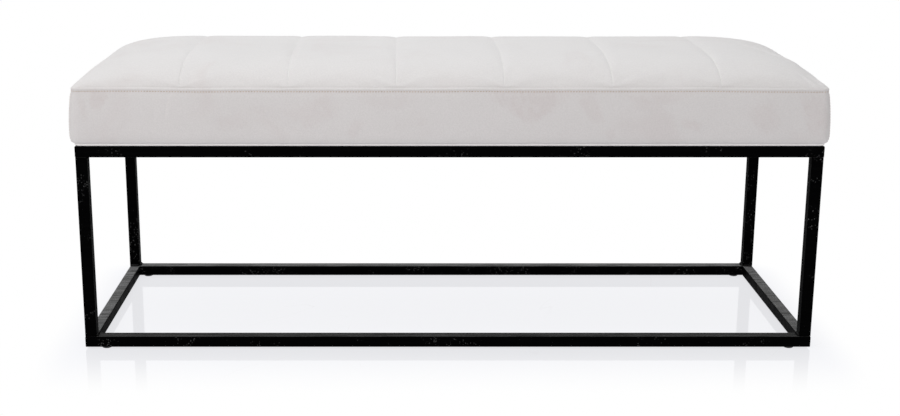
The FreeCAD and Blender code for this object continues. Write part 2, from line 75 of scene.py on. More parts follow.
class Nodes:
    """Adds nodes to a shader tree and links them."""

    def __init__(self, tree: NodeTree) -> None:
        """Starts on an emptied tree."""
        self.tree = tree
        tree.nodes.clear()

    def add(self, kind: str, inputs: dict | None = None, **settings: object) -> Node:
        """Adds one node.

        Args:
            kind: The node's Blender type without its ShaderNode prefix.
            inputs: Socket names or numbers, with a value or another node's socket for each.
            **settings: Properties of the node.

        Returns:
            The new node.
        """
        node = self.tree.nodes.new("ShaderNode" + kind)
        for name, value in settings.items():
            setattr(node, name, value)
        for name, value in (inputs or {}).items():
            if isinstance(value, NodeSocket):
                self.tree.links.new(value, node.inputs[name])
            else:
                node.inputs[name].default_value = value
        return node

    def math(self, operation: str, *values: object, clamp: bool = False) -> NodeSocket:
        """The result of a Math node, for numbers or sockets in order."""
        return self.add("Math", dict(enumerate(values)), operation=operation, use_clamp=clamp).outputs[0]

    def times(self, first: object, second: object) -> NodeSocket:
        """One value multiplied by another."""
        return self.math("MULTIPLY", first, second)

    def plus(self, value: object, share: float, base: object, clamp: bool = False) -> NodeSocket:
        """A share of a value, added to a base."""
        return self.math("MULTIPLY_ADD", value, share, base, clamp=clamp)

    def band(self, value: object, low: object, high: object) -> NodeSocket:
        """A value mapped smoothly, to 0 where it is low and to 1 where it is high."""
        names = {"Value": value, "From Min": low, "From Max": high}
        return self.add("MapRange", names, interpolation_type="SMOOTHSTEP").outputs[0]

    def mix(self, factor: object, first: object, second: object) -> NodeSocket:
        """The first colour where the factor is 0, the second where it is 1."""
        return self.add("Mix", {0: factor, 6: first, 7: second}, data_type="RGBA").outputs[2]

    def clouds(self, place: object, scale: object, detail: float, **others: object) -> Node:
        """A noise texture."""
        return self.add("TexNoise", {"Vector": place, "Scale": scale, "Detail": detail, **others})

    def warped(self, place: object, scale: object, reach: float) -> NodeSocket:
        """Coordinates shifted by a noise of some scale and reach."""
        shift = {0: self.clouds(place, scale, 1.0).outputs[1], 1: (reach, reach, reach)}
        bent = self.add("VectorMath", shift, operation="MULTIPLY")
        return self.add("VectorMath", {0: place, 1: bent.outputs[0]}, operation="ADD").outputs[0]

    def effect(self, effect: "Effect", place: NodeSocket, **values: float) -> NodeSocket:
        """The value of a shared effect at some coordinates, with its own numbers."""
        node = self.add("Group", node_tree=EFFECTS[effect])
        self.tree.links.new(place, node.inputs["Vector"])
        for name, value in values.items():
            node.inputs[name].default_value = value
        return node.outputs[0]


class Effect(Enum):
    """The shared shader effects, each one node group."""

    GRAIN = "Grain"
    PATCHES = "Patches"
    SPECKS = "Specks"
    STREAKS = "Streaks"


def draw_grain(nodes: Nodes, given: dict[str, NodeSocket]) -> NodeSocket:
    """Fine grain all over."""
    return nodes.clouds(given["Vector"], given["Scale"], 2.0, Roughness=given["Softness"]).outputs[0]


def draw_patches(nodes: Nodes, given: dict[str, NodeSocket]) -> NodeSocket:
    """Patches with soft, wandering edges."""
    place = nodes.warped(given["Vector"], given["Scale"], 0.09)
    cloud = nodes.clouds(place, given["Scale"], 3.0, Roughness=0.55, Distortion=0.6)
    return nodes.band(cloud.outputs[0], given["Low"], given["High"])


def draw_specks(nodes: Nodes, given: dict[str, NodeSocket]) -> NodeSocket:
    """Ragged specks, one in each of a share of the cells."""
    place = nodes.warped(given["Vector"], 900.0, 0.004)
    cells = nodes.add("TexVoronoi", {"Vector": place, "Scale": given["Scale"]})
    near = nodes.math("LESS_THAN", cells.outputs["Distance"], given["Size"])
    pick = nodes.add("SeparateColor", {0: cells.outputs["Color"]})
    return nodes.times(near, nodes.math("LESS_THAN", pick.outputs[0], given["Share"]))


def draw_streaks(nodes: Nodes, given: dict[str, NodeSocket]) -> NodeSocket:
    """Streaks along the first axis."""
    parts = nodes.add("SeparateXYZ", {0: given["Vector"]}).outputs
    along = nodes.times(parts[0], given["Stretch"])
    drawn = nodes.add("CombineXYZ", {0: along, 1: parts[1], 2: parts[2]})
    return nodes.clouds(drawn.outputs[0], given["Scale"], 4.0, Roughness=0.65).outputs[0]


def make_effect(effect: Effect, draw: Callable[[Nodes, dict], NodeSocket], **numbers: float) -> NodeTree:
    """Makes an effect's node group, with a Vector and numbers going in and one Value coming out.

    Args:
        effect: Names the group.
        draw: Adds its nodes, and gives the socket of its value.
        **numbers: Its number inputs, with their usual values.

    Returns:
        The group.
    """
    group = bpy.data.node_groups.new(effect.value, "ShaderNodeTree")
    sockets = group.interface
    sockets.new_socket("Vector", in_out="INPUT", socket_type="NodeSocketVector")
    for name, value in numbers.items():
        sockets.new_socket(name, in_out="INPUT", socket_type="NodeSocketFloat").default_value = value
    sockets.new_socket("Value", in_out="OUTPUT", socket_type="NodeSocketFloat")
    nodes = Nodes(group)
    entry = group.nodes.new("NodeGroupInput")
    value = draw(nodes, {socket.name: socket for socket in entry.outputs if socket.name})
    group.links.new(value, group.nodes.new("NodeGroupOutput").inputs[0])
    return group


EFFECTS = {
    Effect.GRAIN: make_effect(Effect.GRAIN, draw_grain, Scale=1000.0, Softness=0.5),
    Effect.PATCHES: make_effect(Effect.PATCHES, draw_patches, Scale=6.0, Low=0.5, High=0.7),
    Effect.SPECKS: make_effect(Effect.SPECKS, draw_specks, Scale=180.0, Size=0.08, Share=0.5),
    Effect.STREAKS: make_effect(Effect.STREAKS, draw_streaks, Scale=30.0, Stretch=0.06),
}


@dataclass(frozen=True)
class Finish:
    """What every finish has: a name, a colour and a roughness."""

    name: str
    colour: Triple
    roughness: float = 0.5

    def make(self) -> Material:
        """Builds the material.

        Returns:
            The material.
        """
        material = bpy.data.materials.new(self.name)
        material.use_nodes = True
        material.diffuse_color = (*self.colour, 1.0)
        nodes = Nodes(material.node_tree)
        self.paint(nodes, nodes.add("TexCoord").outputs["Object"])
        return material

    def paint(self, nodes: Nodes, place: NodeSocket) -> None:
        """Adds the finish's own nodes, by its Object coordinates."""
        raise NotImplementedError

    def close(self, nodes: Nodes, colour: object, roughness: object, height: object,
              depth: float, **constants: float) -> None:
        """Adds the shader and the output.

        Args:
            nodes: The material's node adder.
            colour: The base colour's socket.
            roughness: The roughness, or its socket.
            height: The socket of the bump's height.
            depth: How deep the bump is, in metres.
            **constants: Other numbers of the shader, with _ for a space in their names.
        """
        bump = nodes.add("Bump", {"Strength": 1.0, "Distance": depth, "Height": height})
        shader = nodes.add("BsdfPrincipled", {"Base Color": colour, "Roughness": roughness,
                                              "Normal": bump.outputs[0]})
        for name, value in constants.items():
            shader.inputs[name.replace("_", " ")].default_value = value
        nodes.add("OutputMaterial", {"Surface": shader.outputs[0]})

    def shade(self, share: float) -> Colour:
        """The finish's colour, darkened or lightened by a share."""
        return (*(min(1.0, part * share) for part in self.colour), 1.0)


@dataclass(frozen=True)
class PowderCoat(Finish):
    """Satin black powder coat with orange peel, dust flecks, painted sheen mixed with dust on faces that
    point up, and dull rubbed streaks.
    """

    # dust sets how many dust flecks there are and how much painted sheen with dust the upward faces get;
    # grey is the colour of that sheen.
    dust: float = 0.62
    grey: float = 0.2
    fleck: float = 0.2

    def paint(self, nodes: Nodes, place: NodeSocket) -> None:
        """Adds orange peel, streaks, flecks, and painted sheen mixed with dust where the coat faces up.
        """
        peel = nodes.effect(Effect.GRAIN, place, Scale=420.0)
        fine = nodes.effect(Effect.GRAIN, place, Scale=2600.0, Softness=0.7)
        dull = nodes.effect(Effect.PATCHES, place, Scale=9.0, Low=0.42, High=0.66)
        streaks = nodes.effect(Effect.STREAKS, place, Scale=260.0, Stretch=0.05)
        specks = nodes.effect(Effect.SPECKS, place, Scale=330.0, Size=0.34, Share=self.dust * 0.5)
        clusters = nodes.effect(Effect.PATCHES, place, Scale=16.0, Low=0.53, High=0.63)
        flecks = nodes.times(specks, clusters)
        body = nodes.mix(nodes.band(streaks, 0.45, 0.75), self.shade(0.8), self.shade(1.7))
        # Painted sheen mixed with dust: faces that point up are lightened towards grey, more in streaks.
        upward = nodes.add("SeparateXYZ", {0: nodes.add("TexCoord").outputs["Normal"]}).outputs[2]
        upward_sheen_and_dust = nodes.times(nodes.band(upward, 0.55, 0.98), nodes.band(fine, 0.2, 0.75))
        sheen_and_dust_amount = nodes.plus(nodes.band(streaks, 0.38, 0.6), 0.7 * self.dust, 0.5 * self.dust)
        body = nodes.mix(nodes.times(upward_sheen_and_dust, sheen_and_dust_amount), body, grey(self.grey))
        colour = nodes.mix(nodes.times(flecks, 0.37), body, grey(self.fleck))
        rubbed = nodes.plus(dull, 0.12, self.roughness)
        roughness = nodes.plus(nodes.band(streaks, 0.35, 0.7), 0.14, rubbed, clamp=True)
        height = nodes.plus(flecks, 0.6, nodes.plus(fine, 0.15, peel))
        self.close(nodes, colour, roughness, height, 0.18 * MM, Specular_IOR_Level=0.005)


@dataclass(frozen=True)
class Velvet(Finish):
    """Short-pile velvet: fine nap, brushed patches, a soft sheen and a painted highlight along the lower
    edge of the bands.
    """

    warm: Triple = (0.64, 0.535, 0.525)
    # Near-white colour of the painted highlight along the lower edge of the bands.
    hem_with_painted_highlight: Triple = (1.0, 0.98, 0.96)
    deep: Triple = (0.3, 0.28, 0.27)

    def paint(self, nodes: Nodes, place: NodeSocket) -> None:
        """Adds the pile, its warm brushed marks and the painted highlight along the lower edge."""
        pile = nodes.effect(Effect.GRAIN, place, Scale=1500.0, Softness=0.75)
        mottle = nodes.effect(Effect.GRAIN, place, Scale=420.0, Softness=0.7)
        brushed = nodes.effect(Effect.PATCHES, place, Scale=8.5, Low=0.5, High=0.74)
        strokes = nodes.effect(Effect.PATCHES, place, Scale=34.0, Low=0.45, High=0.66)
        soft = nodes.effect(Effect.PATCHES, place, Scale=3.2, Low=0.35, High=0.75)
        marks = nodes.add("Attribute", attribute_name="nap").outputs["Fac"]
        hem_with_painted_highlight = nodes.add("Attribute", attribute_name="hem_with_painted_highlight").outputs["Fac"]
        base = nodes.mix(nodes.times(soft, 0.5), self.shade(1.03), self.shade(0.965))
        ragged = nodes.times(marks, nodes.plus(strokes, 0.42, 0.5))
        nap = nodes.math("MAXIMUM", nodes.times(brushed, 0.14), nodes.times(ragged, 0.36))
        base = nodes.mix(nap, base, (*self.warm, 1.0))
        # Painted highlight: the strip along the lower edge is mixed to near white.
        base = nodes.mix(hem_with_painted_highlight, base, (*self.hem_with_painted_highlight, 1.0))
        grain = nodes.plus(pile, 0.5, nodes.times(mottle, 0.5))
        between = nodes.mix(0.14, base, (*self.deep, 1.0))
        colour = nodes.mix(nodes.band(grain, 0.3, 0.7), between, base)
        self.close(nodes, colour, self.roughness, nodes.plus(mottle, 0.6, pile), 0.22 * MM,
                   Specular_IOR_Level=0.12, Sheen_Weight=0.22, Sheen_Roughness=0.45)


@dataclass(frozen=True)
class Thread(Finish):
    """Twisted polyester thread."""

    def paint(self, nodes: Nodes, place: NodeSocket) -> None:
        """Adds the twist and a changing tone."""
        twist = nodes.add("TexWave", {"Vector": place, "Scale": 900.0, "Distortion": 2.0},
                          wave_type="BANDS", bands_direction="DIAGONAL")
        tone = nodes.effect(Effect.GRAIN, place, Scale=300.0)
        colour = nodes.mix(nodes.band(tone, 0.35, 0.65), self.shade(0.86), self.shade(1.08))
        self.close(nodes, colour, self.roughness, twist.outputs[1], 0.08 * MM, Specular_IOR_Level=0.3)


@dataclass(frozen=True)
class Nylon(Finish):
    """Moulded black nylon, scuffed where it meets the floor."""

    def paint(self, nodes: Nodes, place: NodeSocket) -> None:
        """Adds the moulded grain and the scuffs."""
        mould = nodes.effect(Effect.GRAIN, place, Scale=900.0)
        worn = nodes.band(nodes.effect(Effect.STREAKS, place, Scale=500.0, Stretch=0.1), 0.5, 0.68)
        colour = nodes.mix(nodes.times(worn, 0.3), self.shade(1.0), grey(0.16))
        self.close(nodes, colour, nodes.plus(worn, 0.2, self.roughness), mould, 0.06 * MM)


@dataclass(frozen=True)
class DustCloth(Finish):
    """Spun-bonded black cloth with its pattern of pressed dots."""

    def paint(self, nodes: Nodes, place: NodeSocket) -> None:
        """Adds the pressed dots, in slanting rows, and the fibres."""
        turned = nodes.add("Mapping", {"Vector": place, "Rotation": (0.0, 0.0, math.radians(45)),
                                       "Scale": (520.0, 520.0, 520.0)})
        cells = nodes.add("TexVoronoi", {"Vector": turned.outputs[0], "Scale": 1.0, "Randomness": 0.0},
                          voronoi_dimensions="2D")
        dots = nodes.band(cells.outputs["Distance"], 0.22, 0.34)
        fibres = nodes.effect(Effect.STREAKS, place, Scale=900.0, Stretch=0.3)
        colour = nodes.mix(nodes.band(fibres, 0.4, 0.62), self.shade(0.7), self.shade(1.5))
        roughness = nodes.plus(dots, 0.35, self.roughness)
        self.close(nodes, colour, roughness, nodes.plus(fibres, 0.5, dots), 0.15 * MM)


@dataclass(frozen=True)
class Plywood(Finish):
    """Birch plywood: long grain on its faces and dark glue lines between its plies."""

    ply: float = 1.5 * MM
    glue: Triple = (0.12, 0.08, 0.05)

    def paint(self, nodes: Nodes, place: NodeSocket) -> None:
        """Adds the figure and grain, the darker odd plies and the glue lines."""
        grain = nodes.effect(Effect.STREAKS, place, Scale=210.0, Stretch=0.04)
        figure = nodes.effect(Effect.STREAKS, place, Scale=24.0, Stretch=0.16)
        plies = nodes.math("DIVIDE", nodes.add("SeparateXYZ", {0: place}).outputs[2], self.ply)
        level = nodes.math("SUBTRACT", nodes.math("FRACT", plies), 0.5)
        glue = nodes.band(nodes.math("ABSOLUTE", level), 0.5, 0.42)
        odd = nodes.math("PINGPONG", plies, 1.0)
        face = nodes.mix(nodes.band(figure, 0.35, 0.65), self.shade(0.92), self.shade(1.08))
        face = nodes.mix(nodes.times(nodes.band(grain, 0.5, 0.75), 0.45), face, self.shade(0.6))
        side = nodes.mix(nodes.times(odd, 0.4), face, self.shade(0.7))
        self.close(nodes, nodes.mix(glue, (*self.glue, 1.0), side), self.roughness, grain, 0.1 * MM)


@dataclass(frozen=True)
class Zinc(Finish):
    """Bright zinc plate with a brushed, slightly clouded face."""

    def paint(self, nodes: Nodes, place: NodeSocket) -> None:
        """Adds the clouds and the brushed lines."""
        cloud = nodes.effect(Effect.PATCHES, place, Scale=160.0, Low=0.35, High=0.7)
        lines = nodes.effect(Effect.STREAKS, place, Scale=1400.0, Stretch=0.08)
        colour = nodes.mix(cloud, self.shade(0.85), self.shade(1.1))
        roughness = nodes.plus(cloud, 0.16, self.roughness)
        self.close(nodes, colour, roughness, lines, 0.03 * MM, Metallic=1.0)


# Meshes

def listed(items: bpy.types.bpy_prop_collection, name: str, width: int = 3,
           kind: type = float) -> Array:
    """Reads one property of a mesh's points or edges.

    Args:
        items: The points or edges.
        name: The property.
        width: How many numbers it has.
        kind: Their type.

    Returns:
        The numbers, one row each.
    """
    flat = np.empty(len(items) * width, kind)
    items.foreach_get(name, flat)
    return flat.reshape(-1, width)


def move_to(mesh: Mesh, places: Array) -> None:
    """Moves a mesh's points."""
    mesh.vertices.foreach_set("co", places.ravel())
    mesh.update()


def keep(mesh: Mesh, name: str, domain: str, values: Array) -> None:
    """Keeps one number for each point or edge with a mesh."""
    mesh.attributes.new(name, "FLOAT", domain).data.foreach_set("value", values)


def cad_form(node: str) -> BMesh:
    """A CAD node's shape with its flat faces whole.

    Args:
        node: The node's name.

    Returns:
        The shape.
    """
    form = bmesh.new()
    form.from_mesh(frame["nodes"][node].data)
    bmesh.ops.remove_doubles(form, verts=form.verts, dist=0.01 * MM)
    bmesh.ops.dissolve_limit(form, angle_limit=math.radians(1), verts=form.verts, edges=form.edges)
    return form


def new_piece(name: str, form: BMesh, material: Material | None = None,
              smooth: bool = False) -> Object:
    """Makes a piece of a finished bmesh, and frees it.

    Args:
        name: The piece's name.
        form: Its shape, in metres and in place.
        material: Its material, where it has one already.
        smooth: Whether all its faces are shaded smooth.

    Returns:
        The piece.
    """
    for face in form.faces:
        face.smooth = face.smooth or smooth
    mesh = bpy.data.meshes.new(name)
    form.to_mesh(mesh)
    form.free()
    if material is not None:
        mesh.materials.append(material)
    piece = bpy.data.objects.new(name, mesh)
    bpy.context.scene.collection.objects.link(piece)
    return piece


# The cushion

def spread(start: float, end: float, near_start: list[float], near_end: list[float],
           step: float) -> list[float]:
    """Stations from start up to, but not with, end: close ones by each end and even ones between.

    Args:
        start: The first station.
        end: Where the next stretch starts.
        near_start: Distances of the close stations from start.
        near_end: Distances of the close stations from end.
        step: About how far apart the even ones are.

    Returns:
        The stations in order.
    """
    low = [start, *(start + gap for gap in near_start)]
    high = [end - gap for gap in reversed(near_end)]
    count = max(1, round((high[0] - low[-1]) / step))
    even = [low[-1] + (high[0] - low[-1]) * number / count for number in range(1, count)]
    return low + even + high


def wander(points: Array) -> Array:
    """How far sewn cloth strays from its true place, as a smooth field.

    Args:
        points: Places, one row each.

    Returns:
        The shift of each place.
    """
    shift = np.empty_like(points)
    for row, (x, y, z) in enumerate(points):
        long_wave = noise.noise((x * 3.1 + 4.0, y * 3.1, z * 2.0 + 7.0))
        short_wave = noise.noise((x * 11.0, y * 11.0 + 3.0, z * 9.0))
        shift[row] = (0.5 * MM * short_wave, 0.6 * MM * noise.noise((x * 6.0, 2.0, y * 6.0)),
                      2.2 * MM * long_wave + 0.7 * MM * short_wave)
    return shift


@dataclass(frozen=True)
class Crease:
    """One soft crease in the velvet: a valley with a low ridge beside it."""

    start: Pair
    end: Pair
    width: float
    depth: float

    def lift(self, x: Array, y: Array) -> Array:
        """How far the crease lifts each point.

        Args:
            x: The points' places along the crease's first axis.
            y: Their places along its second axis.

        Returns:
            The lifts.
        """
        start, end = np.array(self.start), np.array(self.end)
        way = end - start
        length = float(np.hypot(*way))
        along = ((x - start[0]) * way[0] + (y - start[1]) * way[1]) / length ** 2
        across = ((x - start[0]) * -way[1] + (y - start[1]) * way[0]) / length / self.width
        fade = np.clip(np.minimum(along, 1 - along) * 4 + 0.4, 0, 1)
        valley = np.exp(-across ** 2) - 0.6 * np.exp(-(across - 1.9) ** 2)
        return -self.depth * valley * fade * fade * (3 - 2 * fade)


class Side(Enum):
    """The cushion's sides, each with the two axes that lie in it and the way that it faces."""

    FRONT = (0, 2, 1, -1)
    BACK = (0, 2, 1, 1)
    LEFT = (1, 2, 0, -1)
    RIGHT = (1, 2, 0, 1)
    TOP = (0, 1, 2, 1)


@dataclass(frozen=True)
class Mark:
    """A place where the nap is brushed the other way: a wedge with a ragged edge."""

    side: Side
    middle: Pair
    half: Pair
    turn: float = 0.0
    taper: float = 0.0
    amount: float = 1.0

    def cover(self, places: Array, normals: Array) -> Array:
        """How much of the mark each point has.

        Args:
            places: The points.
            normals: Which way the cover faces there.

        Returns:
            Amounts from 0 to 1.
        """
        first, second, facing, way = self.side.value
        u, v = places[:, first] - self.middle[0], places[:, second] - self.middle[1]
        cos, sin = math.cos(math.radians(self.turn)), math.sin(math.radians(self.turn))
        along, across = (u * cos + v * sin) / self.half[0], (v * cos - u * sin) / self.half[1]
        narrow = np.maximum(0.15, 1 + self.taper * across)
        ragged = 0.09 * np.sin(u * 610 + v * 340) + 0.07 * np.sin(v * 830 - u * 290 + 1.3)
        reach = (np.abs(along / narrow) ** 5 + np.abs(across) ** 5) ** (1 / 5) + ragged
        inside = np.clip((1.2 - reach) / 0.6, 0, 1)
        seen = np.clip((normals[:, facing] * way - 0.5) * 4, 0, 1)
        return self.amount * inside * inside * (3 - 2 * inside) * seen


@dataclass
class Cushion:
    """The box cushion: a crowned, channelled top over four bands that draw in at the seam."""

    half_length: float
    half_depth: float
    base: float
    seam: float
    rise: float
    end_reach: float = 0.225
    fullness: float = 4.0
    softness: float = 0.72
    end_softness: float = 0.65
    channels: int = 7
    corner: float = 10 * MM
    overhang: float = 6.6 * MM
    full_height: float = 22 * MM
    topstitch_drop: float = 6.1 * MM
    stitch_pitch: float = 4.5 * MM
    # Height of the painted highlight along the lower edge of the bands.
    painted_highlight_height: float = 4.0 * MM
    puff: float = 1.35 * MM
    held_low: float = 15 * MM
    held_high: float = 9 * MM
    step: float = 6.2 * MM
    corner_tuck: float = 0.7 * MM
    foot: float = 2 * MM
    stray_reach: float = 40 * MM
    grooves: tuple[Pair, ...] = ((0.75 * MM, 1.2 * MM), (0.35 * MM, 9 * MM))
    seam_creases: tuple[tuple[str, float], ...] = (("sewn", 0.75), ("rim", 0.8), ("upright", 0.6))
    filling_frames: int = 16
    filling_pressure: float = 4.0
    slack: float = 0.004
    evening_passes: int = 60
    evening_share: float = 0.6
    stitch_share: float = 0.31
    shortest_stitch: float = 1.2 * MM
    stitch_half: Pair = (0.82 * MM, 0.45 * MM)
    stitch_tilt: float = 8.0
    corner_turn: float = 20.0
    eased: float = 12 * MM

    def columns(self) -> tuple[Array, list[int]]:
        """Stations along the bench, and which of them are channel seams."""
        width = 2 * self.half_length / self.channels
        edge = [gap * MM for gap in (0.8, 2, 3.6, 5.6, 8, 11, 15, 20, 26)]
        sewn = [gap * MM for gap in (0.7, 1.7, 3.6, 7)]
        stations, seams = [], []
        for channel in range(self.channels):
            start = -self.half_length + channel * width
            if channel:
                seams.append(len(stations))
            stations += spread(start, start + width, edge if channel == 0 else sewn,
                               edge if channel == self.channels - 1 else sewn, self.step)
        return np.array(stations + [self.half_length]), seams

    def rows(self) -> Array:
        """Stations from front to back."""
        edge = [gap * MM for gap in (0.6, 1.5, 2.8, 4.6, 7, 10, 13.5, 18, 23, 29)]
        stations = spread(-self.half_depth, self.half_depth, edge, edge, self.step)
        return np.array(stations + [self.half_depth])

    def profile(self) -> list[Pair]:
        """The band from its foot to the seam: how far out from the seam's line, and how high."""
        hem_with_painted_highlight = ((-6.5, 0.0), (-3.2, 0.1), (-1.3, 0.5), (-0.3, 1.2), (0.2, 2.1), (0.15, 3.0), (0.0, 3.7),
               (1.1, 4.45), (3.3, 5.6), (5.0, 7.5), (6.0, 10.6), (6.5, 15.4))
        points = [(out * MM, height * MM) for out, height in hem_with_painted_highlight]
        drawn = self.seam - self.base
        lowest, highest = 21.5 * MM, drawn - 10.5 * MM
        for height in np.arange(lowest, highest, self.step):
            over = (height - self.full_height) / (drawn - self.full_height)
            points.append((self.overhang * (1 - over * over), float(height)))
        sewn = ((8.8, 1.35), (7.6, 1.2), (6.9, 1.05), (6.4, 0.85), (6.0, 0.75), (5.5, 0.8), (4.8, 1.1),
                (3.9, 1.4), (2.8, 1.5), (1.8, 1.2), (0.9, 0.45), (0.35, -0.45), (0.0, -1.0))
        return points + [(out * MM, drawn - gap * MM) for gap, out in sewn]

    def share(self, gap: Array, reach: float, softness: float) -> Array:
        """The share of the crown, from 0 to 1, at distances from the seam up to its full reach."""
        way = np.clip(gap / reach, 0, 1)
        return (1 - (1 - way) ** self.fullness) ** softness

    def rounded(self, x: Array, y: Array, out: Array) -> tuple[Array, Array]:
        """Rounds the cushion's plan at its corners.

        Args:
            x: Places along the bench.
            y: Places across it.
            out: How far each place lies out from the seam's line.

        Returns:
            The rounded places.
        """
        keep_x = np.clip(x, self.corner - self.half_length, self.half_length - self.corner)
        keep_y = np.clip(y, self.corner - self.half_depth, self.half_depth - self.corner)
        over_x, over_y = x - keep_x, y - keep_y
        size = np.maximum(np.abs(over_x), np.abs(over_y))
        length = np.maximum(np.hypot(over_x, over_y), SMALLEST)
        scale = (size + out) / length
        return keep_x + over_x * scale, keep_y + over_y * scale

    def shell(self) -> tuple[Object, dict[str, Array]]:
        """The cushion's closed form before it is filled.

        Returns:
            The object, and for each point whether it is held and which part it is on.
        """
        columns, seams = self.columns()
        rows, profile = self.rows(), self.profile()
        counts = (len(columns) - 1, len(rows) - 1, len(profile) - 1)
        form = bmesh.new()
        bmesh.ops.create_cube(form, size=1)
        for axis, count in enumerate(counts):
            runs = [edge for edge in form.edges
                    if abs(edge.verts[0].co[axis] - edge.verts[1].co[axis]) > 0.5]
            bmesh.ops.subdivide_edges(form, edges=runs, cuts=count - 1, use_grid_fill=True)
        bmesh.ops.recalc_face_normals(form, faces=form.faces)
        body = new_piece("cushion_cover", form, smooth=True)
        grid = (listed(body.data.vertices, "co") + 0.5) * counts
        places, parts = self.placed(columns, seams, rows, profile, np.rint(grid).astype(int).T)
        move_to(body.data, places)
        first, second = listed(body.data.edges, "vertices", 2, int).T
        sharp = np.zeros(len(first), np.float32)
        for name, amount in self.seam_creases:
            sharp[parts[name][first] & parts[name][second]] = amount
        keep(body.data, "crease_edge", "EDGE", sharp)
        return body, parts

    def placed(self, columns: Array, seams: list[int], rows: Array, profile: list,
               index: Array) -> tuple[Array, dict[str, Array]]:
        """Works out where each point of the shell goes.

        Args:
            columns: Stations along the bench.
            seams: Which of them are channel seams.
            rows: Stations from front to back.
            profile: The band's profile.
            index: The points' columns, rows and levels.

        Returns:
            The places, and for each point whether it is held and which part it is on.
        """
        column, row, level = index
        x, y = columns[column], rows[row]
        ends = (column == 0) | (column == len(columns) - 1)
        fronts = (row == 0) | (row == len(rows) - 1)
        side, top = ends | fronts, level == len(profile) - 1
        outs, heights = np.array(profile).T
        out = np.where(side, outs[level], 0.0)
        out = np.where(side & ends & fronts, out - self.corner_tuck, out)
        plan_x, plan_y = self.rounded(x, y, out)
        inner = ~side & ~top
        shrink = outs[0] - 1 * MM
        plan_x = np.where(inner, x * (1 + shrink / self.half_length), plan_x)
        plan_y = np.where(inner, y * (1 + shrink / self.half_depth), plan_y)
        gap_x, gap_y = self.half_length - np.abs(x), self.half_depth - np.abs(y)
        rise, small = self.rise - self.puff, 0.2 * MM
        lengthwise, across = (self.end_reach, self.end_softness), (self.half_depth, self.softness)
        over_x, over_y = self.share(gap_x, *lengthwise), self.share(gap_y, *across)
        crown = over_x * over_y
        slope_x = (self.share(gap_x + small, *lengthwise) - over_x) * over_y * rise / small
        slope_y = (self.share(gap_y + small, *across) - over_y) * over_x * rise / small
        facing = np.column_stack((np.sign(x) * slope_x, np.sign(y) * slope_y, np.ones(len(x))))
        facing /= np.linalg.norm(facing, axis=1, keepdims=True)
        near = np.min(np.abs(columns[seams][None, :] - x[:, None]), axis=1)
        groove = sum(depth * np.exp(-(near / width) ** 2) for depth, width in self.grooves)
        groove *= np.clip(np.minimum(gap_x, gap_y) / (3 * MM), 0, 1) * top
        z = self.base + np.where(top, heights[-1] + rise * crown, heights[level])
        sewn = np.isin(column, seams) & top
        rim = side & top
        low = (heights[level] < self.held_low) & ~top
        held = sewn | rim | low | (side & (heights[level] > heights[-1] - self.held_high))
        places = np.column_stack((plan_x, plan_y, z)) - facing * groove[:, None]
        shift = wander(places)
        above = heights[level] - self.foot
        shift *= np.clip(above / self.stray_reach, 0.25, 1)[:, None]
        shift[above < 0, 2] = 0
        parts = {"held": held, "sewn": sewn, "rim": rim, "upright": ends & fronts, "band": side & ~top}
        return places + shift, parts

    def fill(self, body: Object, parts: dict[str, Array]) -> None:
        """Fills the shell by cloth simulation, held at its seams.

        Args:
            body: The shell.
            parts: Which points are held.
        """
        group = body.vertex_groups.new(name="held")
        group.add([int(number) for number in np.flatnonzero(parts["held"])], 1.0, "REPLACE")
        cloth = body.modifiers.new("filling", "CLOTH")
        settings = cloth.settings
        settings.quality = 5
        settings.vertex_group_mass = "held"
        settings.use_pressure = True
        settings.uniform_pressure_force = self.filling_pressure
        settings.shrink_min = -self.slack
        settings.effector_weights.gravity = 0.0
        cloth.collision_settings.use_collision = False
        cloth.point_cache.frame_end = self.filling_frames
        scene = bpy.context.scene
        before = listed(body.data.vertices, "co")
        for number in range(1, self.filling_frames + 1):
            scene.frame_set(number)
        graph = bpy.context.evaluated_depsgraph_get()
        after = listed(body.evaluated_get(graph).data.vertices, "co")
        body.modifiers.remove(cloth)
        body.vertex_groups.clear()
        scene.frame_set(1)
        moved = self.evened(body.data, after - before, parts)
        size = np.linalg.norm(moved, axis=1, keepdims=True)
        log.info("filling moved the cover by up to %.2f mm", size.max() / MM)
        moved *= self.puff * np.tanh(size / self.puff) / np.maximum(size, SMALLEST)
        move_to(body.data, before + moved)

    def evened(self, mesh: Mesh, moved: Array, parts: dict[str, Array]) -> Array:
        """Evens out how far the filling moves the bands, where the mesh is finer under a channel seam.

        Args:
            mesh: The shell's mesh.
            moved: How far each point moved.
            parts: Which points are held, and which are on the bands.

        Returns:
            The evened moves.
        """
        ends = listed(mesh.edges, "vertices", 2, int)
        free = parts["band"] & ~parts["held"]
        first, second = ends[free[ends].all(axis=1)].T
        count = np.bincount(first, minlength=len(moved)) + np.bincount(second, minlength=len(moved))
        touched = count > 0
        for _ in range(self.evening_passes):
            for axis in range(3):
                total = np.bincount(first, moved[second, axis], len(moved))
                total += np.bincount(second, moved[first, axis], len(moved))
                stray = total[touched] / count[touched] - moved[touched, axis]
                moved[touched, axis] += self.evening_share * stray
        return moved

    def crease(self, mesh: Mesh) -> None:
        """Presses the creases of use into the filled cover.

        Args:
            mesh: The cover's mesh.
        """
        places, normals = listed(mesh.vertices, "co"), listed(mesh.vertex_normals, "vector")
        upper = np.clip((normals[:, 2] - 0.3) * 3, 0, 1)
        front = np.clip((-normals[:, 1] - 0.6) * 3, 0, 1)
        lift = np.zeros(len(places))
        for creases, axis, facing in ((TOP_CREASES, 1, upper), (FRONT_CREASES, 2, front)):
            for crease in creases:
                lift += crease.lift(places[:, 0], places[:, axis]) * facing
        move_to(mesh, places + normals * lift[:, None])

